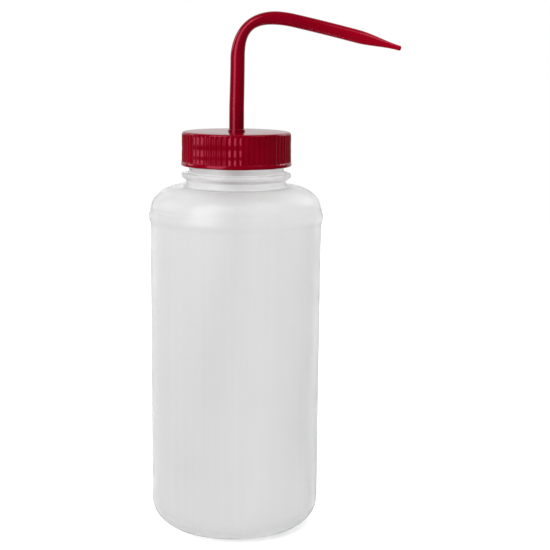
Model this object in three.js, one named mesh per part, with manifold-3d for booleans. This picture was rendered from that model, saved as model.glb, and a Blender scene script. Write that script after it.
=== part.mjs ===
// Wash bottle of one litre with a wide neck, in five pieces: a blow-moulded translucent bottle, a ribbed
// screw cap, a sealing insert under the cap, a bent delivery tube that swivels in both, and a dip tube
// pushed into the delivery tube's lower end.
// Millimetres, +Z up. The origin is on the bottle's axis, in the plane that the bottle stands on. The jet
// points along +X.
import * as THREE from "three";
import { mergeVertices } from "three/addons/utils/BufferGeometryUtils.js";
import Module from "manifold-3d";

const wasm = await Module();
wasm.setup();

// ---- driving dimensions ----
const GAP = 0.3; // between pieces that touch
const RUNNING = 0.35; // radial, between pieces that turn or slide

const BODY_R = 45.5;
const WALL = 1.2;
const HEEL_R = 13.7;
const BASE_GROOVE = { innerR: 23.5, outerR: 27.5, depth: 0.9, slope: 0.8 };
const STEP = { bottom: 164, height: 8.9, proud: 1 }; // the rounded bead where body and shoulder meet
const SHOULDER_TOP_Z = 184.7;
const SHOULDER_TOP_R = 29.2;
const SHOULDER_FOOT_R = 45.1;

const NECK_R = 25.1;
const NECK_BORE_R = 23.1;
const NECK_FOOT_R = 26.5;
const NECK_RING = { r: 28.9, top: 191.8, bottom: 189.3, edge: 0.7 }; // the transfer ring below the cap
const LIP_Z = 209.2;
const LIP_EDGE = 0.6;

const PITCH = 25.4 / 6;
const THREAD_TURNS = 1.25;
const THREAD_TOP_Z = 206.6; // the middle of the bottle's ridge, at its upper end
const THREAD_START = 0.5; // radians, where the bottle's ridge begins at its lower end
const THREAD_DEPTH = 1.1;
const RIDGE = { foot: 1.15, crest: 0.55, buried: 0.6 }; // half widths, and how far it sinks into the wall
const RUN_OUT = { share: 1 / 6, end: 0.15 }; // of the ridge's length at each end, and the height left there

const CAP_BOTTOM_Z = 195.6;
const CAP_TOP_Z = 213.4;
const CAP_TOP_THICKNESS = 2.2;
const CAP_R = 29.0; // over the ribs
const CAP_ROOT_R = 28.45; // between the ribs
const CAP_RIM_R = 29.3;
const CAP_RIM_HEIGHT = 2.2;
const CAP_EDGE_R = 1.7;
const CAP_INNER_R = NECK_R + THREAD_DEPTH + 0.45;
const RIBS = 64;

const TUBE_R = 3.95; // the delivery tube above the cap
const STEM = { r: 4.4, topZ: CAP_TOP_Z + 1.2, edge: 0.4 }; // its thicker foot, which fills the cap's hole
const BARREL_R = 4.9; // its lower end, inside the insert's hub
const BARREL_BOTTOM_Z = 191.5;
const COLLAR_R = 7.6;
const COLLAR_HEIGHT = 1.6;
const SOCKET_R = 3.45; // takes the dip tube
const SOCKET_TOP_Z = 205;

const DIP_R = SOCKET_R - GAP;
const DIP_BORE_R = 2.25;

const BOTTLE_SIDES = 48;
const CAP_SIDES = RIBS;
const INSERT_SIDES = 40;

// Heights that follow from those above.
const CAP_CEILING_Z = CAP_TOP_Z - CAP_TOP_THICKNESS;
const INSERT_TOP_Z = CAP_CEILING_Z - GAP;
const FLANGE_BOTTOM_Z = LIP_Z + GAP;
const COLLAR_TOP_Z = CAP_CEILING_Z - RUNNING;
const COLLAR_BOTTOM_Z = COLLAR_TOP_Z - COLLAR_HEIGHT;

// The helix along the middle of the bottle's ridge, by its height at the angle 0.
const THREAD_ANGLE = THREAD_TURNS * 2 * Math.PI;
const HELIX_Z = THREAD_TOP_Z - (PITCH * (THREAD_START + THREAD_ANGLE)) / (2 * Math.PI);

// ---- materials ----
const naturalPlastic = new THREE.MeshStandardMaterial({
  color: 0xe6e7e8,
  roughness: 0.42,
  metalness: 0,
  transparent: true,
  opacity: 0.6,
});
const whitePlastic = new THREE.MeshStandardMaterial({ color: 0xf1f1ee, roughness: 0.5, metalness: 0 });
const redPlastic = new THREE.MeshStandardMaterial({ color: 0xb00a22, roughness: 0.25, metalness: 0 });

// ---- helpers ----
const point = (r, z) => new THREE.Vector2(r, z);

// Points of an elliptic arc in a turned profile, from one angle to another, in degrees.
function arc(centreR, centreZ, a, b, from, to, steps) {
  const curve = new THREE.EllipseCurve(
    centreR,
    centreZ,
    a,
    b,
    THREE.MathUtils.degToRad(from),
    THREE.MathUtils.degToRad(to),
    to < from,
  );
  return curve.getPoints(steps);
}

// A profile of radius against height, turned about the Z axis.
function turned(profile, sides) {
  return new THREE.LatheGeometry(profile, sides).rotateX(Math.PI / 2);
}

// A closed geometry as a manifold solid. A geometry that faces inwards is turned inside out.
function solid(geometry) {
  const bare = new THREE.BufferGeometry();
  bare.setAttribute("position", geometry.getAttribute("position"));
  if (geometry.index) bare.setIndex(geometry.index);
  const merged = mergeVertices(bare, 1e-4);
  const make = (triVerts) =>
    new wasm.Manifold(
      new wasm.Mesh({ numProp: 3, vertProperties: merged.attributes.position.array, triVerts }),
    );
  const faces = new Uint32Array(merged.index.array);
  const made = make(faces);
  if (made.volume() > 0) return made;
  return make(faces.reverse());
}

function geometryOf(manifold) {
  const mesh = manifold.getMesh();
  const geometry = new THREE.BufferGeometry();
  geometry.setAttribute("position", new THREE.BufferAttribute(new Float32Array(mesh.vertProperties), 3));
  geometry.setIndex(new THREE.BufferAttribute(new Uint32Array(mesh.triVerts), 1));
  geometry.computeVertexNormals();
  return geometry;
}

// A row of equal rings joined into one closed skin.
function loft(rings) {
  const sides = rings[0].length;
  const positions = rings.flat().flatMap((p) => [p.x, p.y, p.z]);
  const faces = [];
  for (let i = 0; i + 1 < rings.length; i++) {
    for (let k = 0; k < sides; k++) {
      const a = i * sides + k;
      const b = i * sides + ((k + 1) % sides);
      faces.push(a, b, b + sides, a, b + sides, a + sides);
    }
  }
  const last = (rings.length - 1) * sides;
  for (let k = 1; k + 1 < sides; k++) {
    faces.push(0, k + 1, k);
    faces.push(last, last + k, last + k + 1);
  }
  const geometry = new THREE.BufferGeometry();
  geometry.setAttribute("position", new THREE.Float32BufferAttribute(positions, 3));
  geometry.setIndex(faces);
  return geometry;
}

// A right-handed thread ridge. It stands on footR and reaches crestR, and its ends run out into the wall.
// helixZ is the height that its helix has at the angle 0, and from is the angle where the ridge begins.
function threadRidge(footR, crestR, helixZ, from) {
  const steps = Math.round(THREAD_TURNS * BOTTLE_SIDES);
  const rings = [];
  for (let i = 0; i <= steps; i++) {
    const angle = from + (THREAD_ANGLE * i) / steps;
    const z = helixZ + (PITCH * angle) / (2 * Math.PI);
    const fromEnd = Math.min(i, steps - i) / steps;
    const rise = Math.min(1, RUN_OUT.end + fromEnd / RUN_OUT.share);
    const crest = footR + (crestR - footR) * rise;
    const buried = footR - Math.sign(crestR - footR) * RIDGE.buried;
    const section = [
      [buried, -RIDGE.foot],
      [footR, -RIDGE.foot],
      [crest, -RIDGE.crest],
      [crest, RIDGE.crest],
      [footR, RIDGE.foot],
      [buried, RIDGE.foot],
    ];
    rings.push(
      section.map(([r, dz]) => new THREE.Vector3(r * Math.cos(angle), r * Math.sin(angle), z + dz)),
    );
  }
  return solid(loft(rings));
}

// A round pipe along a path in the XZ plane. sizeAt gives its radius in that plane and across it, at a
// distance along the path.
function pipe(path, steps, sides, sizeAt) {
  const circle = new THREE.Shape(
    Array.from({ length: sides }, (_, k) => {
      const angle = (2 * Math.PI * k) / sides;
      return new THREE.Vector2(Math.cos(angle), Math.sin(angle));
    }),
  );
  const geometry = new THREE.ExtrudeGeometry(circle, { steps, bevelEnabled: false, extrudePath: path });
  const centres = path.getSpacedPoints(steps);
  const length = path.getLength();
  const positions = geometry.getAttribute("position");
  const vertex = new THREE.Vector3();
  for (let i = 0; i < positions.count; i++) {
    vertex.fromBufferAttribute(positions, i);
    const distances = centres.map((c) => c.distanceToSquared(vertex));
    const ring = distances.indexOf(Math.min(...distances));
    const size = sizeAt((ring / steps) * length);
    vertex.sub(centres[ring]);
    vertex.multiply(new THREE.Vector3(size.inPlane, size.across, size.inPlane));
    vertex.add(centres[ring]);
    positions.setXYZ(i, vertex.x, vertex.y, vertex.z);
  }
  return solid(geometry);
}

// Sizes between stations of [distance, in plane, across], eased from one to the next.
function eased(stations) {
  return (distance) => {
    const next = stations.findIndex((s) => s[0] >= distance);
    if (next <= 0) {
      const end = next < 0 ? stations[stations.length - 1] : stations[0];
      return { inPlane: end[1], across: end[2] };
    }
    const [a, b] = [stations[next - 1], stations[next]];
    const share = THREE.MathUtils.smoothstep(distance, a[0], b[0]);
    return {
      inPlane: THREE.MathUtils.lerp(a[1], b[1], share),
      across: THREE.MathUtils.lerp(a[2], b[2], share),
    };
  };
}

const inPlane = (x, z) => new THREE.Vector3(x, 0, z);

// ---- bottle ----
function stepBead(inset) {
  return [0.2, 0.4, 0.6, 0.8].map((share) => {
    const swell = STEP.proud * Math.sin(Math.PI * share) ** 2;
    return point(BODY_R - inset + swell, STEP.bottom + STEP.height * share);
  });
}

// The shallow ring groove in the base, whose inside face is the same shape one wall higher.
function baseGroove(lift) {
  const { innerR, outerR, depth, slope } = BASE_GROOVE;
  return [
    point(0, lift),
    point(innerR, lift),
    point(innerR + slope, lift + depth),
    point(outerR - slope, lift + depth),
    point(outerR, lift),
  ];
}

function makeBottle() {
  const shoulderZ = STEP.bottom + STEP.height;
  const shoulderA = SHOULDER_FOOT_R - SHOULDER_TOP_R;
  const shoulderB = SHOULDER_TOP_Z - shoulderZ;
  const heelCentreR = BODY_R - HEEL_R;
  const outside = [
    ...baseGroove(0),
    ...arc(heelCentreR, HEEL_R, HEEL_R, HEEL_R, -90, 0, 6),
    point(BODY_R, STEP.bottom),
    ...stepBead(0),
    ...arc(SHOULDER_TOP_R, shoulderZ, shoulderA, shoulderB, 0, 90, 7),
    point(NECK_FOOT_R + 0.6, SHOULDER_TOP_Z + 0.4),
    point(NECK_FOOT_R, SHOULDER_TOP_Z + 1.4),
    point(NECK_FOOT_R, NECK_RING.bottom - 1.5),
    point(NECK_RING.r - NECK_RING.edge, NECK_RING.bottom - 0.2),
    point(NECK_RING.r, NECK_RING.bottom + NECK_RING.edge),
    point(NECK_RING.r, NECK_RING.top - 2 * NECK_RING.edge),
    point(NECK_RING.r - NECK_RING.edge, NECK_RING.top - 0.5 * NECK_RING.edge),
    point(NECK_R, NECK_RING.top + 0.2),
    point(NECK_R, LIP_Z - LIP_EDGE),
    point(NECK_R - LIP_EDGE, LIP_Z),
  ];
  const inside = [
    point(NECK_BORE_R + 0.5, LIP_Z),
    point(NECK_BORE_R, LIP_Z - 0.5),
    point(NECK_BORE_R, SHOULDER_TOP_Z + 2),
    point(NECK_BORE_R + 1.1, SHOULDER_TOP_Z),
    ...arc(SHOULDER_TOP_R, shoulderZ, shoulderA - WALL, shoulderB - WALL, 90, 0, 6),
    point(BODY_R - WALL + STEP.proud * 0.6, STEP.bottom + STEP.height / 2),
    point(BODY_R - WALL, STEP.bottom),
    ...arc(heelCentreR, HEEL_R, HEEL_R - WALL, HEEL_R - WALL, 0, -90, 5),
    ...baseGroove(WALL).reverse(),
  ];
  const shell = solid(turned([...outside, ...inside], BOTTLE_SIDES));
  return shell.add(threadRidge(NECK_R, NECK_R + THREAD_DEPTH, HELIX_Z, THREAD_START));
}

// ---- screw cap ----
function ribBand() {
  const outline = new THREE.Shape(
    Array.from({ length: 2 * RIBS }, (_, k) => {
      const angle = (Math.PI * k) / RIBS;
      const r = k % 2 ? CAP_ROOT_R : CAP_R;
      return new THREE.Vector2(r * Math.cos(angle), r * Math.sin(angle));
    }),
  );
  const hole = new THREE.Path().absarc(0, 0, CAP_INNER_R + 1, 0, 2 * Math.PI, true);
  outline.holes.push(new THREE.Path(hole.getPoints(CAP_SIDES / 2).slice(0, -1)));
  const bottomZ = CAP_BOTTOM_Z + CAP_RIM_HEIGHT - 0.2;
  const height = CAP_TOP_Z - CAP_EDGE_R - 0.1 - bottomZ;
  return solid(
    new THREE.ExtrudeGeometry(outline, { depth: height, bevelEnabled: false }).translate(0, 0, bottomZ),
  );
}

function makeCap() {
  const edgeZ = CAP_TOP_Z - CAP_EDGE_R;
  const holeR = STEM.r + RUNNING;
  const profile = [
    point(holeR, CAP_TOP_Z),
    ...arc(CAP_R - CAP_EDGE_R, edgeZ, CAP_EDGE_R, CAP_EDGE_R, 90, 0, 3),
    point(CAP_R, edgeZ - 0.3),
    point(CAP_ROOT_R, edgeZ - 0.9),
    point(CAP_ROOT_R, CAP_BOTTOM_Z + CAP_RIM_HEIGHT + 0.1),
    point(CAP_RIM_R, CAP_BOTTOM_Z + CAP_RIM_HEIGHT - 0.3),
    point(CAP_RIM_R, CAP_BOTTOM_Z + 0.5),
    point(CAP_RIM_R - 0.5, CAP_BOTTOM_Z),
    point(CAP_INNER_R + 0.5, CAP_BOTTOM_Z),
    point(CAP_INNER_R, CAP_BOTTOM_Z + 0.6),
    point(CAP_INNER_R, CAP_CEILING_Z),
    point(holeR, CAP_CEILING_Z),
    point(holeR, CAP_TOP_Z),
  ];
  const shell = solid(turned(profile, CAP_SIDES)).add(ribBand());
  // The cap's ridge runs half a pitch below the bottle's, and begins half a turn before it.
  const crestR = CAP_INNER_R - THREAD_DEPTH;
  return shell.add(threadRidge(CAP_INNER_R, crestR, HELIX_Z - PITCH / 2, THREAD_START - Math.PI));
}

// ---- sealing insert ----
function makeInsert() {
  const hubBoreR = BARREL_R + RUNNING;
  const cupR = COLLAR_R + 0.6; // the recess that holds the collar
  const cupFloorZ = COLLAR_BOTTOM_Z - GAP;
  const plugR = NECK_BORE_R - RUNNING;
  const plugBottomZ = LIP_Z - 4.6;
  const hubBottomZ = LIP_Z - 9.7;
  const flangeR = CAP_INNER_R - RUNNING;
  const web = 1.4;
  return solid(
    turned(
      [
        point(cupR, INSERT_TOP_Z),
        point(flangeR, INSERT_TOP_Z),
        point(flangeR, FLANGE_BOTTOM_Z),
        point(plugR, FLANGE_BOTTOM_Z),
        point(plugR, plugBottomZ + 1),
        point(plugR - 0.4, plugBottomZ),
        point(plugR - web, plugBottomZ),
        point(plugR - web, FLANGE_BOTTOM_Z),
        point(cupR + web, FLANGE_BOTTOM_Z),
        point(cupR + web, cupFloorZ - web),
        point(hubBoreR + web + 0.2, cupFloorZ - web),
        point(hubBoreR + web, hubBottomZ),
        point(hubBoreR, hubBottomZ),
        point(hubBoreR, cupFloorZ),
        point(cupR, cupFloorZ),
        point(cupR, INSERT_TOP_Z),
      ],
      INSERT_SIDES,
    ),
  );
}

// ---- delivery tube ----
const TUBE_FOOT_Z = COLLAR_BOTTOM_Z + 0.5;
const RISE = { straightTo: 226, pull: 244 }; // heights on the riser, which then leans very slightly
const BEND = { foot: inPlane(0.35, 251), head: inPlane(30, 271.1), pull: 19, length: 43 };
const ARM_DROOP = THREE.MathUtils.degToRad(12.2); // where the arm leaves the bend
const TIP_DROOP = THREE.MathUtils.degToRad(15);
const ARM_PULL = 29;
const JET_TIP = inPlane(85.9, 257.4);

// Radii from the foot to the jet's tip. The bend flattens the tube.
const OUTSIDE = { foot: TUBE_R, bendIn: 2.9, bendAcross: 3.8, arm: 3.48, tip: 1.05 };
const BORE = { foot: 2.2, bendIn: 1.5, bendAcross: 2.3, arm: 1.9, tip: 0.55 };
const DRAWN = { length: 32, by: 0.17 }; // the riser thins by this much over its last stretch
const BEND_SHARES = { flattest: 0.43, round: 0.81 }; // of the bend's length
const TAPER_LENGTH = 24;
const TIP_ROUNDING = { length: 1, by: 0.3 };

// The middle line: up from the collar, round the bend, and along the arm to the jet's tip. The arm leaves
// the bend at its droop angle and sags a little further.
function deliveryPath(footZ) {
  const armWay = inPlane(Math.cos(ARM_DROOP), -Math.sin(ARM_DROOP));
  const straightTop = inPlane(0, RISE.straightTo);
  const beforeHead = BEND.head.clone().addScaledVector(armWay, -BEND.pull);
  const afterHead = BEND.head.clone().addScaledVector(armWay, ARM_PULL);
  const aboveFoot = BEND.foot.clone().add(inPlane(0, BEND.pull));
  const path = new THREE.CurvePath();
  path.add(new THREE.LineCurve3(inPlane(0, footZ), straightTop));
  path.add(new THREE.QuadraticBezierCurve3(straightTop, inPlane(BEND.foot.x, RISE.pull), BEND.foot));
  path.add(new THREE.CubicBezierCurve3(BEND.foot, aboveFoot, beforeHead, BEND.head));
  path.add(new THREE.QuadraticBezierCurve3(BEND.head, afterHead, JET_TIP));
  return path;
}

// A pipe along that line, from a height on the riser to the tip.
function deliveryPipe(footZ, sides, size) {
  const path = deliveryPath(footZ);
  const length = path.getLength();
  const bendStart = BEND.foot.z - footZ;
  const risen = size.foot - DRAWN.by;
  const sizeAt = eased([
    [0, size.foot, size.foot],
    [bendStart - DRAWN.length, size.foot, size.foot],
    [bendStart, risen, risen],
    [bendStart + BEND.length * BEND_SHARES.flattest, size.bendIn, size.bendAcross],
    [bendStart + BEND.length * BEND_SHARES.round, size.arm, size.arm],
    [length - TAPER_LENGTH, size.arm, size.arm],
    [length - TIP_ROUNDING.length, size.tip + TIP_ROUNDING.by, size.tip + TIP_ROUNDING.by],
    [length, size.tip, size.tip],
  ]);
  return pipe(path, 50, sides, sizeAt);
}

function makeDeliveryTube() {
  const barrel = solid(
    turned(
      [
        point(0, BARREL_BOTTOM_Z),
        point(BARREL_R - 0.5, BARREL_BOTTOM_Z),
        point(BARREL_R, BARREL_BOTTOM_Z + 0.6),
        point(BARREL_R, COLLAR_BOTTOM_Z),
        point(COLLAR_R, COLLAR_BOTTOM_Z),
        point(COLLAR_R, COLLAR_TOP_Z),
        point(STEM.r, COLLAR_TOP_Z),
        point(STEM.r, STEM.topZ - STEM.edge),
        point(STEM.r - STEM.edge, STEM.topZ),
        point(0, STEM.topZ),
      ],
      24,
    ),
  );
  const outer = deliveryPipe(TUBE_FOOT_Z, 16, OUTSIDE);
  const bore = deliveryPipe(SOCKET_TOP_Z - 1, 8, BORE);
  // The bore runs on through the tip.
  const mouth = solid(
    new THREE.CylinderGeometry(BORE.tip, BORE.tip, 4, 8)
      .rotateZ(Math.PI / 2)
      .rotateY(TIP_DROOP)
      .translate(JET_TIP.x, 0, JET_TIP.z),
  );
  const socketFootZ = BARREL_BOTTOM_Z - 2; // past the barrel's end, for a clean cut
  const socketLength = SOCKET_TOP_Z - socketFootZ;
  const socket = solid(
    new THREE.CylinderGeometry(SOCKET_R, SOCKET_R, socketLength, 20)
      .rotateX(Math.PI / 2)
      .translate(0, 0, SOCKET_TOP_Z - socketLength / 2),
  );
  return barrel.add(outer).subtract(bore).subtract(socket).subtract(mouth);
}

// ---- dip tube ----
const DIP_TOP_Z = SOCKET_TOP_Z - GAP;
const DIP_LEAN = { z: 158.7, reach: 24 }; // where its leaning length meets the axis, and the bend's reach
const DIP_END = inPlane(-24.86, 5.6);
const DIP_CUT = { angle: THREE.MathUtils.degToRad(35), aboveEnd: 2.6 };

function dipPath(topZ, beyond) {
  const corner = inPlane(0, DIP_LEAN.z);
  const bendTop = inPlane(0, DIP_LEAN.z + DIP_LEAN.reach);
  const down = DIP_END.clone().sub(corner).normalize();
  const bendFoot = corner.clone().addScaledVector(down, DIP_LEAN.reach);
  const path = new THREE.CurvePath();
  path.add(new THREE.LineCurve3(inPlane(0, topZ), bendTop));
  path.add(new THREE.QuadraticBezierCurve3(bendTop, corner, bendFoot));
  path.add(new THREE.LineCurve3(bendFoot, DIP_END.clone().addScaledVector(down, beyond)));
  return path;
}

function makeDipTube() {
  const constant = (r) => () => ({ inPlane: r, across: r });
  const tube = pipe(dipPath(DIP_TOP_Z, 0), 22, 12, constant(DIP_R));
  // The bore is drawn past both ends, for clean cuts.
  const bore = pipe(dipPath(DIP_TOP_Z + 2, 6), 22, 8, constant(DIP_BORE_R));
  // The slanted cut at the foot keeps it from sealing against the floor.
  const cutter = solid(
    new THREE.BoxGeometry(30, 30, 12)
      .translate(0, 0, -6)
      .rotateY(DIP_CUT.angle)
      .translate(DIP_END.x, 0, DIP_END.z + DIP_CUT.aboveEnd),
  );
  return tube.subtract(bore).subtract(cutter);
}

// ---- assembly ----
function piece(name, manifold, material) {
  const mesh = new THREE.Mesh(geometryOf(manifold), material);
  mesh.name = name;
  return mesh;
}

const washBottle = new THREE.Group();
washBottle.add(
  piece("bottle", makeBottle(), naturalPlastic),
  piece("screw_cap", makeCap(), redPlastic),
  piece("sealing_insert", makeInsert(), whitePlastic),
  piece("delivery_tube", makeDeliveryTube(), redPlastic),
  piece("dip_tube", makeDipTube(), naturalPlastic),
);

export default washBottle;
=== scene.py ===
import math

import bmesh
import bpy
import numpy as np
from mathutils import Matrix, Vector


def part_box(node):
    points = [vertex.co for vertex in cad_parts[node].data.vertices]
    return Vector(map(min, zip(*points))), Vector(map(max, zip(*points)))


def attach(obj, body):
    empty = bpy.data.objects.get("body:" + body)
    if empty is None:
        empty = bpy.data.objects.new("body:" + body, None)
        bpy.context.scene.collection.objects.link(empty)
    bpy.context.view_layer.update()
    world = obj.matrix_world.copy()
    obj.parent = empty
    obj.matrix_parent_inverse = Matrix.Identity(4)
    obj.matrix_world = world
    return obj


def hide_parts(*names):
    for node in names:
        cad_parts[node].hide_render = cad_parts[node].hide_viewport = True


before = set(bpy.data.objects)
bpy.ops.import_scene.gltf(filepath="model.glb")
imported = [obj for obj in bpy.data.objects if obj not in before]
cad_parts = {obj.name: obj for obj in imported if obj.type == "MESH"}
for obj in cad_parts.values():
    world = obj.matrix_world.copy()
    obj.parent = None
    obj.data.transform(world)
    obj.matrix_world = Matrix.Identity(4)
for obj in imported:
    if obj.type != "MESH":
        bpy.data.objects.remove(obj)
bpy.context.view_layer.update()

# A one-litre wash bottle. Each CAD node is replaced by a finer mesh of the same piece. Lengths are in
# millimetres up to the point where a mesh is made, and the axis of the bottle is the Z axis.
MM = 0.001


def cad_box(node):
    """The lowest and highest corner of a CAD node."""
    low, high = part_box(node)
    return low / MM, high / MM


# ---- sizes ----
BOTTLE_HIGH = cad_box("bottle")[1]
CAP_LOW, CAP_HIGH = cad_box("screw_cap")
INSERT_LOW, INSERT_HIGH = cad_box("sealing_insert")
DELIVERY_LOW, DELIVERY_HIGH = cad_box("delivery_tube")
DIP_HIGH = cad_box("dip_tube")[1]

GAP = 0.3  # between pieces that touch
RUNNING = 0.35  # between pieces that turn or slide

BODY_R = 45.5
WALL = 1.2
HEEL_R = 13.7
BASE_GROOVE = {"inner": 23.5, "outer": 27.5, "depth": 0.9, "rounding": 0.6}
BEAD = {"bottom": 164.0, "height": 8.9, "proud": BOTTLE_HIGH.x - BODY_R}
SHOULDER = {"foot_r": 45.1, "top_r": 29.2, "top_z": 184.7}
NECK_FOOT_R = 26.5
NECK_R = 25.1
NECK_BORE_R = 23.1
RING = {"r": 28.9, "z": 190.2, "below": 2.2, "top": 1.5, "edge": 1.0}
STRAIGHT_NECK_Z = RING["z"] + 3  # the straight neck, with its thread, begins here
LIP_Z = BOTTLE_HIGH.z
SEAM = {"angle": math.radians(-43), "proud": 0.1, "half_width": 0.3}
WALL_DRAW = 0.1  # how far the blown wall draws in at half its height, on average

PITCH = 25.4 / 6
THREAD_DEPTH = 1.1
THREAD_TURNS = 1.25
THREAD_START = 0.5  # radians
THREAD_RIDGE = {"half_width": 1.2, "slope": 0.65, "run_in": 0.5}  # the run-in is in radians
BOTTLE_THREAD_TOP_Z = 206.6

CAP_R = 29.0
CAP_RIM_R = CAP_HIGH.x
CAP_RIM_HEIGHT = 2.2
CAP_EDGE_R = 1.7
CAP_INNER_R = NECK_R + THREAD_DEPTH + 0.45
CAP_TOP_THICKNESS = 2.2
RIBS = 64
RIB_DEPTH = 0.5
RIB_ROUNDNESS = 0.985  # 1 would give the ribs a sharp crest
RIB_TOP = {"z": CAP_HIGH.z - 0.95, "fade": 0.6}
SINK_MARKS = ((205.3, 0.1, 1.8), (200.4, 0.07, 1.3))  # height at the front, depth, half width
LEDGE_R = CAP_RIM_R - 0.1
LEDGE_Z = CAP_LOW.z + CAP_RIM_HEIGHT - 0.45  # the sloping top of the rim begins here
CAP_DRAFT = math.tan(math.radians(0.5))

TUBE_R = 3.95
STEM = {"r": 4.4, "top_z": CAP_HIGH.z + 1.2, "edge": 0.4}
CAP_HOLE_R = STEM["r"] + RUNNING
BARREL_R = 4.9
SOCKET_R = 3.45
SOCKET_TOP_Z = 205.0
COLLAR_R = DELIVERY_HIGH.y
COLLAR_TOP_Z = CAP_HIGH.z - CAP_TOP_THICKNESS - RUNNING
COLLAR_BOTTOM_Z = COLLAR_TOP_Z - 1.6

DIP_R = 3.15
DIP_BORE_R = 2.25

BOTTLE_SIDES = 264
CAP_SIDES = RIBS * 12
TUBE_SIDES = 56


# ---- outlines, as rows of (radius, height) ----
def arc(centre_r, centre_z, a, b, start, end, steps):
    """Part of an ellipse with half axes a and b, between two angles in degrees."""
    angles = np.radians(np.linspace(start, end, steps + 1))
    return [(centre_r + a * math.cos(t), centre_z + b * math.sin(t)) for t in angles]


def rounded(corners, steps=5):
    """A line through corners of (radius, height, rounding), each rounded by about that radius."""
    line = []
    for i, (r, z, rounding) in enumerate(corners):
        here = np.array((r, z))
        if not rounding or i in (0, len(corners) - 1):
            line.append((r, z))
            continue
        before = np.array(corners[i - 1][:2]) - here
        after = np.array(corners[i + 1][:2]) - here
        way_in = before / np.linalg.norm(before)
        way_out = after / np.linalg.norm(after)
        half = math.acos(np.clip(way_in @ way_out, -1, 1)) / 2
        reach = rounding / math.tan(half)
        start, end = here + way_in * reach, here + way_out * reach
        for t in np.linspace(0, 1, steps + 1):
            line.append(tuple((1 - t) ** 2 * start + 2 * t * (1 - t) * here + t**2 * end))
    return line


def upright(r, low, high, step):
    """Points at one radius, from one height to another."""
    count = max(1, round(abs(high - low) / step))
    return [(r, z) for z in np.linspace(low, high, count + 1)]


# ---- meshes ----
def mesh_object(name, vertices, faces):
    """A smooth-shaded object from vertices in millimetres, with sharp creases kept sharp."""
    mesh = bpy.data.meshes.new(name)
    mesh.from_pydata((np.asarray(vertices) * MM).tolist(), [], faces)
    tidy = bmesh.new()
    tidy.from_mesh(mesh)
    bmesh.ops.remove_doubles(tidy, verts=tidy.verts, dist=1e-7)
    bmesh.ops.recalc_face_normals(tidy, faces=tidy.faces)
    tidy.to_mesh(mesh)
    tidy.free()
    mesh.shade_smooth()
    mesh.set_sharp_from_angle(angle=math.radians(50))
    piece = bpy.data.objects.new(name, mesh)
    bpy.context.scene.collection.objects.link(piece)
    return piece


def skin_faces(rings, sides):
    """Faces between neighbouring rings of a closed outline, whose last ring joins the first."""
    faces = []
    for i in range(rings):
        here, there = i * sides, ((i + 1) % rings) * sides
        for k in range(sides):
            after = (k + 1) % sides
            faces.append((here + k, here + after, there + after, there + k))
    return faces


def turned(name, outline, sides, relief=None):
    """A closed outline turned about the Z axis. relief(r, z, angles) gives the radii round one ring."""
    angles = np.arange(sides) * 2 * math.pi / sides
    vertices = []
    for r, z in outline:
        radii = np.full(sides, float(r)) if relief is None else relief(r, z, angles)
        ring = np.column_stack((radii * np.cos(angles), radii * np.sin(angles), np.full(sides, z)))
        vertices.append(ring)
    return mesh_object(name, np.concatenate(vertices), skin_faces(len(outline), sides))


def bezier(points, count=60):
    """Points along the Bezier curve of these control points."""
    t = np.linspace(0, 1, count)[:, None]
    order = len(points) - 1
    return sum(
        math.comb(order, i) * t**i * (1 - t) ** (order - i) * np.array(p, float)
        for i, p in enumerate(points)
    )


class Route:
    """A line in the XZ plane, as (x, z) points, followed by distance from its first point."""

    def __init__(self, points):
        self.points = np.array(points, float)
        steps = np.linalg.norm(np.diff(self.points, axis=0), axis=1)
        self.distances = np.concatenate(([0], np.cumsum(steps)))
        self.length = self.distances[-1]

    def place(self, distance):
        return np.array([np.interp(distance, self.distances, self.points[:, i]) for i in (0, 1)])

    def way(self, distance):
        reach = 0.4
        ahead = self.place(min(distance + reach, self.length))
        step = ahead - self.place(max(distance - reach, 0))
        return step / np.linalg.norm(step)


def swept_rings(route, stations, sides):
    """Rings round a route, from stations of (distance, radius in its plane, radius across it)."""
    angles = np.arange(sides) * 2 * math.pi / sides
    rings = []
    for distance, in_plane, across in stations:
        centre, way = route.place(distance), route.way(distance)
        out = np.cos(angles) * in_plane
        x = centre[0] + out * way[1]
        z = centre[1] - out * way[0]
        rings.append(np.column_stack((x, np.sin(angles) * across, z)))
    return rings


def eased(stations, distance):
    """The two radii at a distance, eased between stations of (distance, in plane, across)."""
    places = [s[0] for s in stations]
    i = int(np.clip(np.searchsorted(places, distance) - 1, 0, len(stations) - 2))
    (start, *first), (end, *second) = stations[i], stations[i + 1]
    t = min(max((distance - start) / (end - start), 0), 1)
    t = t * t * (3 - 2 * t)
    return first[0] + (second[0] - first[0]) * t, first[1] + (second[1] - first[1]) * t


# ---- threads ----
def thread_height(z, angles, start_angle, start_z):
    """How high a right-handed ridge of the neck's pitch stands at one height, round a ring, from 0 to 1."""
    height = np.zeros_like(angles)
    end_angle = start_angle + THREAD_TURNS * 2 * math.pi
    for turn in range(-2, 4):
        along = angles + turn * 2 * math.pi
        centre = start_z + PITCH * (along - start_angle) / (2 * math.pi)
        across = np.clip((THREAD_RIDGE["half_width"] - abs(z - centre)) / THREAD_RIDGE["slope"], 0, 1)
        from_end = np.minimum(along - start_angle, end_angle - along)
        run_in = np.clip(from_end / THREAD_RIDGE["run_in"], 0, 1)
        height = np.maximum(height, across * across * (3 - 2 * across) * run_in)
    return height


BOTTLE_THREAD_FOOT_Z = BOTTLE_THREAD_TOP_Z - PITCH * THREAD_TURNS
CAP_THREAD_FOOT_Z = BOTTLE_THREAD_FOOT_Z - PITCH


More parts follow.
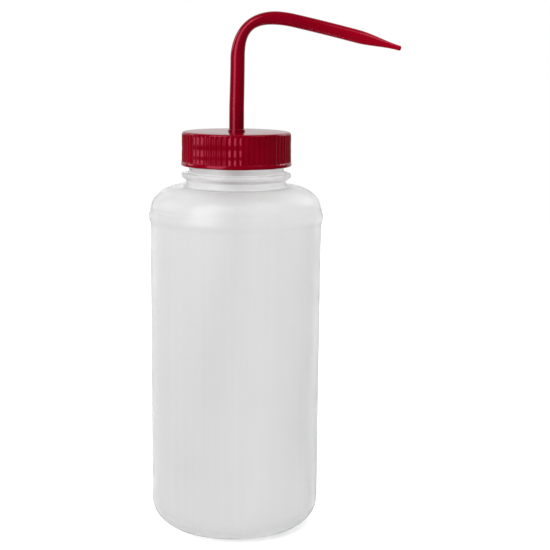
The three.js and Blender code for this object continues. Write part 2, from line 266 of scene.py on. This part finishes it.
# ---- bottle ----
def base_groove(lift):
    """One side of the base, from its middle to the heel, with a ring-shaped groove round it."""
    inner, outer, depth, rounding = BASE_GROOVE.values()
    return rounded(
        [
            (0, lift, 0),
            (inner, lift, rounding),
            (inner + depth, lift + depth, rounding),
            (outer - depth, lift + depth, rounding),
            (outer, lift, rounding),
            (BODY_R - HEEL_R, lift, 0),
        ]
    )


def bead(inset):
    """The rounded ring where body and shoulder meet."""
    shares = np.linspace(0.05, 0.95, 19)
    return [
        (BODY_R - inset + BEAD["proud"] * math.sin(math.pi * s) ** 2, BEAD["bottom"] + BEAD["height"] * s)
        for s in shares
    ]


def shoulder(inset, steps):
    """A quarter of an ellipse, from the bead up to the neck's foot."""
    foot_z = BEAD["bottom"] + BEAD["height"]
    a = SHOULDER["foot_r"] - SHOULDER["top_r"] - inset
    b = SHOULDER["top_z"] - foot_z - inset
    return arc(SHOULDER["top_r"], foot_z, a, b, 0, 90, steps)


def bottle_relief(r, z, angles):
    """The parting line, the neck's thread and the slight unevenness of a blown wall."""
    radii = np.full(len(angles), float(r))
    outside = r > BODY_R - WALL / 2 if z < BEAD["bottom"] else r > NECK_R - WALL / 2
    if outside and HEEL_R / 3 < z < STRAIGHT_NECK_Z:
        off = (angles - SEAM["angle"] + math.pi / 2) % math.pi - math.pi / 2
        near = np.clip(1 - abs(off) * r / SEAM["half_width"], 0, 1)
        radii += SEAM["proud"] * near * near * (3 - 2 * near)
    if HEEL_R < z < BEAD["bottom"]:
        share = math.sin(math.pi * (z - HEEL_R) / (BEAD["bottom"] - HEEL_R))
        wander = np.sin(2 * angles + 0.03 * z) * np.cos(3 * angles - 0.02 * z)
        radii -= WALL_DRAW * share * (1 + wander)
    if r > NECK_R - 0.3 and z > STRAIGHT_NECK_Z:
        radii += THREAD_DEPTH * thread_height(z, angles, THREAD_START, BOTTLE_THREAD_FOOT_Z)
    return radii


def make_bottle():
    heel_centre_r = BODY_R - HEEL_R
    neck_foot = rounded(
        [
            (SHOULDER["top_r"], SHOULDER["top_z"], 0),
            (NECK_FOOT_R, SHOULDER["top_z"] + 0.1, 1.9),
            (NECK_FOOT_R, RING["z"] - RING["below"], 0.5),
            (RING["r"], RING["z"] - 0.6, 0.7),
            (RING["r"], RING["z"] + RING["top"] - 0.2, RING["edge"]),
            (NECK_R, RING["z"] + RING["top"] + 0.3, 0.6),
            (NECK_R, STRAIGHT_NECK_Z + 0.4, 0),
        ],
        8,
    )
    lip = rounded(
        [
            (NECK_R, LIP_Z - 1.5, 0),
            (NECK_R, LIP_Z, 0.6),
            (NECK_BORE_R, LIP_Z, 0.5),
            (NECK_BORE_R, LIP_Z - 1.5, 0),
        ]
    )
    throat = rounded(
        [
            (NECK_BORE_R, LIP_Z - 3, 0),
            (NECK_BORE_R, SHOULDER["top_z"] - WALL, 2.5),
            (SHOULDER["top_r"], SHOULDER["top_z"] - WALL, 0),
        ],
        8,
    )
    outline = [
        *base_groove(0),
        *arc(heel_centre_r, HEEL_R, HEEL_R, HEEL_R, -87, 0, 28),
        *upright(BODY_R, HEEL_R + 3, BEAD["bottom"] - 1, 6),
        *bead(0),
        *shoulder(0, 30),
        *neck_foot[1:],
        *upright(NECK_R, STRAIGHT_NECK_Z + 0.6, LIP_Z - 1.7, 0.22),
        *lip,
        *throat,
        *reversed(shoulder(WALL, 24)[:-1]),
        *reversed(bead(WALL)),
        *upright(BODY_R - WALL, BEAD["bottom"] - 1, HEEL_R + 3, 6),
        *arc(heel_centre_r, HEEL_R, HEEL_R - WALL, HEEL_R - WALL, 0, -87, 20),
        *reversed(base_groove(WALL)),
    ]
    return turned("bottle_shell", outline, BOTTLE_SIDES, bottle_relief)


# ---- screw cap ----
def rib_wave(angles):
    """From 0 on a rib's crest to 1 in the valley, a triangle wave with rounded corners."""
    k = RIB_ROUNDNESS
    low = math.acos(k)
    return (np.arccos(k * np.cos(RIBS * angles)) - low) / (math.pi - 2 * low)


def cap_relief(r, z, angles):
    """The ribs, which fade out below the cap's top edge, the rim's sloping top, and the thread inside."""
    radii = np.full(len(angles), float(r))
    ribs_bottom = CAP_LOW.z + CAP_RIM_HEIGHT
    if r > CAP_R - CAP_EDGE_R and z > LEDGE_Z:
        share = np.clip((RIB_TOP["z"] - z) / RIB_TOP["fade"], 0, 1)
        radii -= RIB_DEPTH * math.sin(share * math.pi / 2) * rib_wave(angles)
        radii -= CAP_DRAFT * (z - ribs_bottom) + sink_marks(z, angles)
        radii = np.maximum(radii, LEDGE_R - (z - LEDGE_Z))
    if abs(r - CAP_INNER_R) < 0.01:
        radii -= THREAD_DEPTH * thread_height(z, angles, THREAD_START - math.pi, CAP_THREAD_FOOT_Z)
    return radii


def sink_marks(z, angles):
    """How deep the cap is hollowed outside its thread, where the thicker wall shrank as it cooled."""
    marks = np.zeros_like(angles)
    front = math.radians(-90)
    around = (angles - front + math.pi) % (2 * math.pi) - math.pi
    for height, depth, half_width in SINK_MARKS:
        centre = height + PITCH * around / (2 * math.pi)
        marks += depth * np.exp(-(((z - centre) / half_width) ** 2))
    return marks


def make_cap():
    rim_top = CAP_LOW.z + CAP_RIM_HEIGHT
    ceiling_z = CAP_HIGH.z - CAP_TOP_THICKNESS
    rim = rounded(
        [
            (CAP_INNER_R, CAP_LOW.z + 2, 0),
            (CAP_INNER_R, CAP_LOW.z + 0.6, 0.3),
            (CAP_INNER_R + 0.6, CAP_LOW.z, 0.3),
            (CAP_RIM_R, CAP_LOW.z, 0.55),
            (LEDGE_R, LEDGE_Z, 0),
        ]
    )
    top = rounded(
        [
            (CAP_R, CAP_HIGH.z - 2, 0),
            (CAP_R, CAP_HIGH.z, CAP_EDGE_R),
            (CAP_HOLE_R, CAP_HIGH.z, 0.35),
            (CAP_HOLE_R, ceiling_z, 0.2),
            (CAP_INNER_R, ceiling_z, 0.5),
            (CAP_INNER_R, ceiling_z - 2, 0),
        ],
        9,
    )
    outline = [
        *rim,
        *upright(CAP_R, LEDGE_Z + 0.05, rim_top + 0.5, 0.1),
        *upright(CAP_R, rim_top + 0.8, CAP_HIGH.z - 2.1, 0.5),
        *top[1:-1],
        *upright(CAP_INNER_R, ceiling_z - 2, CAP_LOW.z + 2.1, 0.4),
    ]
    return turned("cap_shell", outline, CAP_SIDES, cap_relief)


# ---- sealing insert ----
def make_insert():
    """From the middle out: a hub round the barrel, a cup for the collar, a plug and a flange on the lip."""
    hub_r = BARREL_R + RUNNING
    cup_r = COLLAR_R + 0.6
    cup_floor_z = COLLAR_BOTTOM_Z - GAP
    flange_z = LIP_Z + GAP
    plug_r = NECK_BORE_R - RUNNING
    plug_bottom_z = LIP_Z - 4.6
    web = 1.4
    outline = rounded(
        [
            (cup_r, cup_floor_z + 1, 0),
            (cup_r, INSERT_HIGH.z, 0.25),
            (INSERT_HIGH.x, INSERT_HIGH.z, 0.3),
            (INSERT_HIGH.x, flange_z, 0.3),
            (plug_r, flange_z, 0.2),
            (plug_r, plug_bottom_z, 0.6),
            (plug_r - web, plug_bottom_z, 0.3),
            (plug_r - web, flange_z, 0.4),
            (cup_r + web, flange_z, 0.4),
            (cup_r + web, cup_floor_z - web, 0.4),
            (hub_r + web, cup_floor_z - web, 0.4),
            (hub_r + web, INSERT_LOW.z, 0.4),
            (hub_r, INSERT_LOW.z, 0.3),
            (hub_r, cup_floor_z, 0.3),
            (cup_r, cup_floor_z, 0.3),
            (cup_r, cup_floor_z + 0.9, 0),
        ]
    )
    return turned("insert_shell", outline, 144)


# ---- delivery tube ----
BEND_FOOT = (0.35, 251.0)  # (x, z), as are the next two places
BEND_HEAD = (30.0, 271.09)
JET_TIP = (85.9, 257.4)
BEND_PULL, ARM_PULL = 19.0, 29.0  # how far the curves' inner control points lie from their ends
BEND_LENGTH = 43.0
DROOP = math.radians(12.2)
TAPER_LENGTH = 24.0
TIP_ROUNDING = 1.0
TUBE_BORE_R = 2.2
JET_R = {"shoulder": 1.35, "end": 1.05, "mouth": 0.55}  # where its rounding begins and ends, and its hole
# Painted light: the arm is lit from above, so its red is painted lighter towards the jet.
PAINTED_LIGHT_FROM_X = 32.0  # the red grows brighter from here to the jet


def delivery_route():
    """Up from the barrel's foot, over the bend and down along the arm to the jet."""
    foot, head = np.array(BEND_FOOT), np.array(BEND_HEAD)
    arm_way = np.array((math.cos(DROOP), -math.sin(DROOP)))
    rise = bezier([(0, 226), (BEND_FOOT[0], 244), foot])
    bend = bezier([foot, foot + (0, BEND_PULL), head - arm_way * BEND_PULL, head])
    arm = bezier([head, head + arm_way * ARM_PULL, JET_TIP])
    points = [(0, DELIVERY_LOW.z), *rise, *bend[1:], *arm[1:]]
    return Route(points)


def along_tube(route, foot, bend_in, bend_across, arm, tip, start, count):
    """Stations along the tube. The bend flattens it, and the arm tapers to its tip."""
    bend_start = BEND_FOOT[1] - DELIVERY_LOW.z
    thinning, thinning_length = 0.17, 32
    keys = [
        (0, foot, foot),
        (bend_start - thinning_length, foot, foot),
        (bend_start, foot - thinning, foot - thinning),
        (bend_start + BEND_LENGTH * 0.43, bend_in, bend_across),
        (bend_start + BEND_LENGTH * 0.81, arm, arm),
        (route.length - TAPER_LENGTH, arm, arm),
        (route.length - TIP_ROUNDING, tip + 0.3, tip + 0.3),
        (route.length, tip, tip),
    ]
    return [(d, *eased(keys, d)) for d in np.linspace(start, route.length - TIP_ROUNDING, count)]


def make_delivery_tube():
    route = delivery_route()
    foot_z = DELIVERY_LOW.z
    lower = rounded(
        [
            (SOCKET_R, foot_z + 1, 0),
            (SOCKET_R, foot_z, 0.3),
            (BARREL_R, foot_z, 0.6),
            (BARREL_R, COLLAR_BOTTOM_Z, 0.2),
            (COLLAR_R, COLLAR_BOTTOM_Z, 0.25),
            (COLLAR_R, COLLAR_TOP_Z, 0.25),
            (STEM["r"], COLLAR_TOP_Z, 0.2),
            (STEM["r"], STEM["top_z"], STEM["edge"]),
            (TUBE_R, STEM["top_z"], 0.2),
            (TUBE_R, STEM["top_z"] + 0.6, 0),
        ]
    )
    mouth_r = JET_R["mouth"]
    lip = JET_R["shoulder"] - mouth_r
    tip = [
        (route.length - TIP_ROUNDING * (1 - math.sin(t)), mouth_r + lip * math.cos(t))
        for t in np.radians(np.linspace(10, 90, 9))
    ]
    socket_top = rounded(
        [
            (TUBE_BORE_R, SOCKET_TOP_Z + 1, 0),
            (TUBE_BORE_R, SOCKET_TOP_Z, 0.2),
            (SOCKET_R, SOCKET_TOP_Z, 0.2),
            (SOCKET_R, SOCKET_TOP_Z - 1, 0),
        ]
    )
    outer_radii = {"foot": TUBE_R, "bend_in": 2.9, "bend_across": 3.8, "arm": 3.48, "tip": JET_R["end"]}
    bore_radii = {"foot": TUBE_BORE_R, "bend_in": 1.5, "bend_across": 2.3, "arm": 1.9, "tip": mouth_r}
    outer = along_tube(route, start=STEM["top_z"] - foot_z + 1, count=210, **outer_radii)
    bore = along_tube(route, start=SOCKET_TOP_Z - foot_z + 2, count=120, **bore_radii)
    stations = [
        *[(z - foot_z, r, r) for r, z in lower],
        *outer,
        *[(d, r, r) for d, r in tip],
        *reversed(bore),
        *[(z - foot_z, r, r) for r, z in socket_top],
    ]
    rings = swept_rings(route, stations, TUBE_SIDES)
    return mesh_object("jet_tube", np.concatenate(rings), skin_faces(len(rings), TUBE_SIDES))


# ---- dip tube ----
DIP_LEAN_Z = 158.7
DIP_BEND_REACH = 24  # how far the bend spreads on either side of the lean's start
DIP_END = np.array((-24.86, 5.6))  # (x, z)
DIP_CUT_LEAN = math.radians(35)
DIP_CUT_ABOVE_END = 2.6


def make_dip_tube():
    """Straight down from the socket, then leaning to the heel on the side away from the jet."""
    lean = np.array((0, DIP_LEAN_Z))
    down = (DIP_END - lean) / np.linalg.norm(DIP_END - lean)
    bend = bezier([(0, DIP_LEAN_Z + DIP_BEND_REACH), lean, lean + down * DIP_BEND_REACH])
    spare = 6  # past the end, for the cut to take off
    route = Route([(0, DIP_HIGH.z), *bend, DIP_END + down * spare])
    bevel = 0.3
    whole_rings = np.linspace(bevel, route.length - 16, 60)
    stations = [
        (0, DIP_BORE_R + bevel, DIP_BORE_R + bevel),
        (0, DIP_R - bevel, DIP_R - bevel),
        *[(d, DIP_R, DIP_R) for d in whole_rings],
        (route.length, DIP_R, DIP_R),
        (route.length, DIP_BORE_R, DIP_BORE_R),
        *[(d, DIP_BORE_R, DIP_BORE_R) for d in reversed(whole_rings)],
    ]
    rings = swept_rings(route, stations, TUBE_SIDES)
    # The foot is cut on a slant: what lies beyond the cut is drawn back along the tube to it.
    vertices = np.concatenate(rings)
    cut_point = np.array((DIP_END[0], 0, DIP_END[1] + DIP_CUT_ABOVE_END))
    normal = np.array((-math.sin(DIP_CUT_LEAN), 0, -math.cos(DIP_CUT_LEAN)))
    way = np.array((down[0], 0, down[1]))
    beyond = np.maximum((vertices - cut_point) @ normal, 0) / (way @ normal)
    vertices = vertices - beyond[:, None] * way
    return mesh_object("draw_tube", vertices, skin_faces(len(rings), TUBE_SIDES))


# ---- materials ----
class Nodes:
    """A material's node tree around one Principled shader."""

    def __init__(self, name):
        self.material = bpy.data.materials.new(name)
        self.material.use_nodes = True
        self.tree = self.material.node_tree
        self.shader = self.tree.nodes["Principled BSDF"]

    def add(self, kind, inputs=None, **settings):
        node = self.tree.nodes.new("ShaderNode" + kind)
        for key, value in settings.items():
            setattr(node, key, value)
        for key, value in (inputs or {}).items():
            self.connect(value, node.inputs[key])
        return node

    def connect(self, value, socket):
        if isinstance(value, bpy.types.NodeSocket):
            self.tree.links.new(value, socket)
        else:
            socket.default_value = value

    def set(self, **values):
        """Sets the shader's own sockets. Spaces in their names are written as underscores."""
        for key, value in values.items():
            self.connect(value, self.shader.inputs[key.replace("_", " ")])

    def noise(self, scale, detail=3.0, stretch=(1, 1, 1)):
        """Noise in the object's own space. scale is in features per metre."""
        place = self.add("TexCoord").outputs["Object"]
        mapped = self.add("Mapping", {"Vector": place, "Scale": stretch}).outputs["Vector"]
        return self.add("TexNoise", {"Vector": mapped, "Scale": scale, "Detail": detail}).outputs["Fac"]

    def between(self, factor, low, high):
        """A factor of about 0.3 to 0.7 mapped to a number between low and high."""
        inputs = {"Value": factor, "From Min": 0.3, "From Max": 0.7, "To Min": low, "To Max": high}
        return self.add("MapRange", inputs).outputs["Result"]

    def tint(self, factor, first, second):
        """A colour between two, by a factor of about 0.3 to 0.7."""
        mix = self.add("Mix", data_type="RGBA")
        self.connect(self.between(factor, 0, 1), mix.inputs[0])
        mix.inputs[6].default_value = (*first, 1)
        mix.inputs[7].default_value = (*second, 1)
        return mix.outputs[2]

    def by_height(self, stops):
        """A grey that changes with height, from rows of (height in millimetres, grey)."""
        place = self.add("TexCoord").outputs["Object"]
        height = self.add("SeparateXYZ", {0: place}).outputs["Z"]
        top = stops[-1][0]
        share = self.add("MapRange", {"Value": height, "From Max": top * MM}).outputs["Result"]
        ramp = self.add("ValToRGB", {"Fac": share})
        ramp.color_ramp.interpolation = "EASE"
        marks = ramp.color_ramp.elements
        while len(marks) < len(stops):
            marks.new(0.5)
        for mark, (z, grey) in zip(marks, stops):
            mark.position = z / top
            mark.color = (grey, grey, grey, 1)
        return ramp.outputs["Color"]

    def paint_rim_light(self, colour, rim, start, end):
        """Painted rim light: a colour that turns to another where the surface turns away from the eye."""
        facing = self.add("LayerWeight", {"Blend": 0.5}).outputs["Facing"]
        inputs = {"Value": facing, "From Min": start, "From Max": end}
        mix = self.add("Mix", data_type="RGBA")
        self.connect(self.add("MapRange", inputs).outputs["Result"], mix.inputs[0])
        self.connect(colour, mix.inputs[6])
        mix.inputs[7].default_value = (*rim, 1)
        return mix.outputs[2]

    def paint_light_towards_jet(self, colour, end):
        """Painted light: a colour that brightens along the arm towards its jet, where light from above
        falls on the arm.
        """
        place = self.add("TexCoord").outputs["Object"]
        along = self.add("SeparateXYZ", {0: place}).outputs["X"]
        inputs = {"Value": along, "From Min": PAINTED_LIGHT_FROM_X * MM, "From Max": JET_TIP[0] * MM}
        mix = self.add("Mix", data_type="RGBA")
        self.connect(self.add("MapRange", inputs).outputs["Result"], mix.inputs[0])
        self.connect(colour, mix.inputs[6])
        mix.inputs[7].default_value = (*end, 1)
        return mix.outputs[2]

    def times(self, first, second):
        """Two colours multiplied."""
        mix = self.add("Mix", {0: 1.0}, data_type="RGBA", blend_type="MULTIPLY")
        self.connect(first, mix.inputs[6])
        self.connect(second, mix.inputs[7])
        return mix.outputs[2]

    def bump(self, height, distance, strength=1.0, normal=None):
        """A bump of that height in millimetres."""
        inputs = {"Height": height, "Distance": distance * MM, "Strength": strength}
        if normal:
            inputs["Normal"] = normal
        return self.add("Bump", inputs).outputs["Normal"]


# Rows of (height in millimetres, grey): the wall's own grey, with painted light that lifts it a little near
# the base and more at the shoulder and neck, against the shade there.
WALL_TONE_AND_PAINTED_LIGHT = (
    (0, 0.925),
    (22, 0.92),
    (45, 0.9),
    (60, 0.905),
    (110, 0.91),
    (165, 0.92),
    (178, 0.96),
    (186, 0.99),
    (210, 0.99),
)
# Painted rim light: the wall's grey is painted lighter where the wall is seen edge on.
PAINTED_RIM_LIGHT = (0.975, 0.975, 0.975)


def natural_polyethylene():
    """Milky translucent wall, with fine upright die lines and a soft orange peel.

    Its grey by height is painted lighter near the base and at the shoulder and neck, against the shade
    there, and painted lighter at the rim, where the wall is seen edge on.
    """
    nodes = Nodes("natural_polyethylene")
    cloud = nodes.noise(30)
    die_lines = nodes.noise(420, 2.0, (1, 1, 0.02))
    peel = nodes.noise(900, 2.0)
    relief = nodes.bump(die_lines, 0.04, 0.5)
    relief = nodes.bump(peel, 0.02, 0.5, relief)
    # The grey by height carries painted light, lifting the wall near the base and at the shoulder and neck.
    tone = nodes.times(nodes.by_height(WALL_TONE_AND_PAINTED_LIGHT), nodes.tint(cloud, (0.99, 0.99, 0.99), (1, 1, 1)))
    tone = nodes.times(tone, nodes.tint(die_lines, (0.965, 0.965, 0.965), (1, 1, 1)))
    # The base colour carries a painted rim light, lighter where the wall is seen edge on.
    nodes.set(
        Base_Color=nodes.paint_rim_light(tone, PAINTED_RIM_LIGHT, 0.48, 0.66),
        Roughness=nodes.between(peel, 0.7, 0.76),
        Transmission_Weight=1.0,
        IOR=1.35,
        Coat_Weight=0.45,
        Coat_Roughness=0.15,
        Normal=relief,
    )
    return nodes.material


def natural_tube():
    """Cloudy extruded tube, with fine streaks along it."""
    nodes = Nodes("natural_tube")
    streaks = nodes.noise(500, 2.0, (1, 1, 0.03))
    nodes.set(
        Base_Color=nodes.tint(streaks, (0.76, 0.76, 0.76), (0.84, 0.84, 0.84)),
        Roughness=nodes.between(streaks, 0.25, 0.35),
        Transmission_Weight=0.25,
        IOR=1.5,
        Normal=nodes.bump(streaks, 0.03, 0.5),
    )
    return nodes.material


def red_polypropylene():
    """Deep red gloss, with a faint flow cloud, the fine grain of a worn mould and painted light along the
    arm to the jet.
    """
    nodes = Nodes("red_polypropylene")
    cloud = nodes.noise(60)
    grain = nodes.noise(1600, 2.0)
    ripple = nodes.noise(180, 1.0)
    relief = nodes.bump(ripple, 0.01, 0.5)
    relief = nodes.bump(grain, 0.003, 0.5, relief)
    colour = nodes.tint(cloud, (0.097, 0.0, 0.003), (0.115, 0.0002, 0.005))
    # The base colour carries painted light, lighter along the arm towards the jet.
    nodes.set(
        Base_Color=nodes.paint_light_towards_jet(colour, (0.18, 0.0003, 0.006)),
        Roughness=nodes.between(grain, 0.07, 0.12),
        IOR=1.5,
        Specular_IOR_Level=0.5,
        Specular_Tint=(1.0, 0.16, 0.29, 1.0),
        Normal=relief,
    )
    return nodes.material


def white_polyethylene():
    """White satin moulding."""
    nodes = Nodes("white_polyethylene")
    cloud = nodes.noise(80)
    grain = nodes.noise(1200, 2.0)
    nodes.set(
        Base_Color=nodes.tint(cloud, (0.80, 0.80, 0.78), (0.86, 0.86, 0.84)),
        Roughness=nodes.between(grain, 0.4, 0.5),
        Subsurface_Weight=0.1,
        Subsurface_Scale=0.001,
        Normal=nodes.bump(grain, 0.01, 0.5),
    )
    return nodes.material


def floor_material():
    """Pale and matte, with a very faint cloud."""
    nodes = Nodes("pale_floor")
    cloud = nodes.noise(3)
    nodes.set(
        Base_Color=nodes.tint(cloud, (0.93, 0.93, 0.93), (0.95, 0.95, 0.95)),
        Roughness=nodes.between(cloud, 0.85, 0.95),
    )
    return nodes.material


# ---- pieces ----
def place_pieces():
    """Each mesh rides on its CAD node's body and stands in for that node."""
    polyethylene = natural_polyethylene()
    red = red_polypropylene()
    pieces = (
        (make_bottle, "bottle", "bottle", polyethylene, "natural_polyethylene"),
        (make_cap, "cap", "screw_cap", red, "red_polypropylene"),
        (make_insert, "insert", "sealing_insert", white_polyethylene(), "white_polyethylene"),
        (make_delivery_tube, "delivery", "delivery_tube", red, "red_polypropylene"),
        (make_dip_tube, "delivery", "dip_tube", natural_tube(), "natural_tube"),
    )
    for make, body, node, material, slot in pieces:
        piece = make()
        piece.data.materials.append(material)
        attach(piece, body)
        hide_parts(node)


# ---- stage ----
# From here on lengths are in metres.
FLOOR_RADIUS = 1.3
FLOOR_SIDES = 96
# The strength of the surroundings as seen by diffuse rays, through the bottle, and in reflections of the
# room and of the backdrop.
AMBIENT, THROUGH, DIM, BACKDROP = 1.0, 0.97, 0.06, 0.72
BACKDROP_EDGE = {"From Min": 0.6, "From Max": 0.68}  # by how far a direction points to the back


def make_floor():
    """A pale disc. Reflections and the view through the bottle skip it, and see the surroundings."""
    angles = np.arange(FLOOR_SIDES) * 2 * math.pi / FLOOR_SIDES
    rim = FLOOR_RADIUS * np.column_stack((np.cos(angles), np.sin(angles), np.zeros(FLOOR_SIDES)))
    floor = bpy.data.meshes.new("floor")
    floor.from_pydata(rim.tolist(), [], [tuple(range(FLOOR_SIDES))])
    floor.materials.append(floor_material())
    stage = bpy.data.objects.new("floor", floor)
    bpy.context.scene.collection.objects.link(stage)
    stage.visible_glossy = False
    stage.visible_transmission = False


def make_surroundings():
    """Even white light. Reflections see a dim room, with a white backdrop behind the object."""
    world = bpy.data.worlds.new("surroundings")
    bpy.context.scene.world = world
    world.use_nodes = True
    world.cycles.sampling_method = "NONE"
    tree = world.node_tree

    def node(kind, inputs, **settings):
        made = tree.nodes.new("ShaderNode" + kind)
        for key, value in settings.items():
            setattr(made, key, value)
        for key, value in inputs.items():
            if isinstance(value, bpy.types.NodeSocket):
                tree.links.new(value, made.inputs[key])
            else:
                made.inputs[key].default_value = value
        return made

    direction = node("TexCoord", {}).outputs["Generated"]
    back = node("SeparateXYZ", {0: direction}).outputs["Y"]
    ramp = {"Value": back, **BACKDROP_EDGE, "To Min": DIM, "To Max": BACKDROP}
    room = node("MapRange", ramp, interpolation_type="SMOOTHSTEP").outputs["Result"]
    ray = node("LightPath", {}).outputs
    lit = node("Mix", {0: ray["Is Transmission Ray"], 2: AMBIENT, 3: THROUGH}).outputs[0]
    # A ray that has gone through a rough wall counts as glossy too, and it isn't a reflection.
    kinds = {0: ray["Is Glossy Ray"], 1: ray["Is Transmission Ray"]}
    reflected = node("Math", kinds, operation="SUBTRACT").outputs["Value"]
    strength = node("Mix", {0: reflected, 2: lit, 3: room}, clamp_factor=True).outputs[0]
    tree.links.new(strength, tree.nodes["Background"].inputs["Strength"])
    tree.nodes["Background"].inputs["Color"].default_value = (1, 1, 1, 1)


LIGHTS_AIM_Z = 0.2


def softbox(name, azimuth, elevation, distance, width, height, radiance):
    """A soft rectangular light. Azimuth 0 is the camera's side and 90 is the jet's side."""
    light = bpy.data.lights.new(name, "AREA")
    light.shape = "RECTANGLE"
    light.size = width
    light.size_y = height
    light.energy = radiance * math.pi * width * height
    lamp = bpy.data.objects.new(name, light)
    turn = Matrix.Rotation(math.radians(azimuth), 4, "Z")
    tilt = Matrix.Rotation(math.radians(90 - elevation), 4, "X")
    aim = Matrix.Translation((0, 0, LIGHTS_AIM_Z))
    lamp.matrix_world = aim @ turn @ tilt @ Matrix.Translation((0, 0, distance))
    lamp.visible_camera = False
    lamp.visible_transmission = False
    bpy.context.scene.collection.objects.link(lamp)
    return lamp


def make_lights():
    # name, azimuth, elevation, distance, width, height, radiance
    softbox("key", -45, 29, 1.1, 0.757, 1.456, 5.0)
    softbox("top_right", 65, 54, 1.1, 0.6, 0.45, 3.0)
    softbox("back_left", -113, 22, 1.2, 0.35, 0.5, 3.0)
    softbox("back_right", 128, 27, 1.2, 0.5, 0.5, 3.0)
    softbox("overhead", 0, 90, 1.1, 0.8, 0.8, 4.5).visible_glossy = False


CAMERA_PLACE = (0, -0.673154, 0.256236)
CAMERA_LENS = 83.0694  # millimetres, on a sensor 36 mm wide
CAMERA_TURN = {"pan": 1.7967, "tilt": 10.0745, "roll": 0.6156}  # degrees right, down and about its axis


def make_camera():
    """At the camera's side of the bottle, a little above its middle, looking slightly down."""
    camera = bpy.data.cameras.new("camera")
    camera.lens = CAMERA_LENS
    camera.sensor_width = 36
    camera.clip_start = 0.01
    camera.clip_end = 100
    eye = bpy.data.objects.new("camera", camera)
    pan, tilt, roll = (math.radians(turn) for turn in CAMERA_TURN.values())
    eye.matrix_world = (
        Matrix.Translation(CAMERA_PLACE)
        @ Matrix.Rotation(-pan, 4, "Z")
        @ Matrix.Rotation(math.pi / 2 - tilt, 4, "X")
        @ Matrix.Rotation(roll, 4, "Z")
    )
    bpy.context.scene.collection.objects.link(eye)
    bpy.context.scene.camera = eye
    bpy.context.scene.view_settings.view_transform = "Standard"


make_camera()
place_pieces()
make_floor()
make_surroundings()
make_lights()
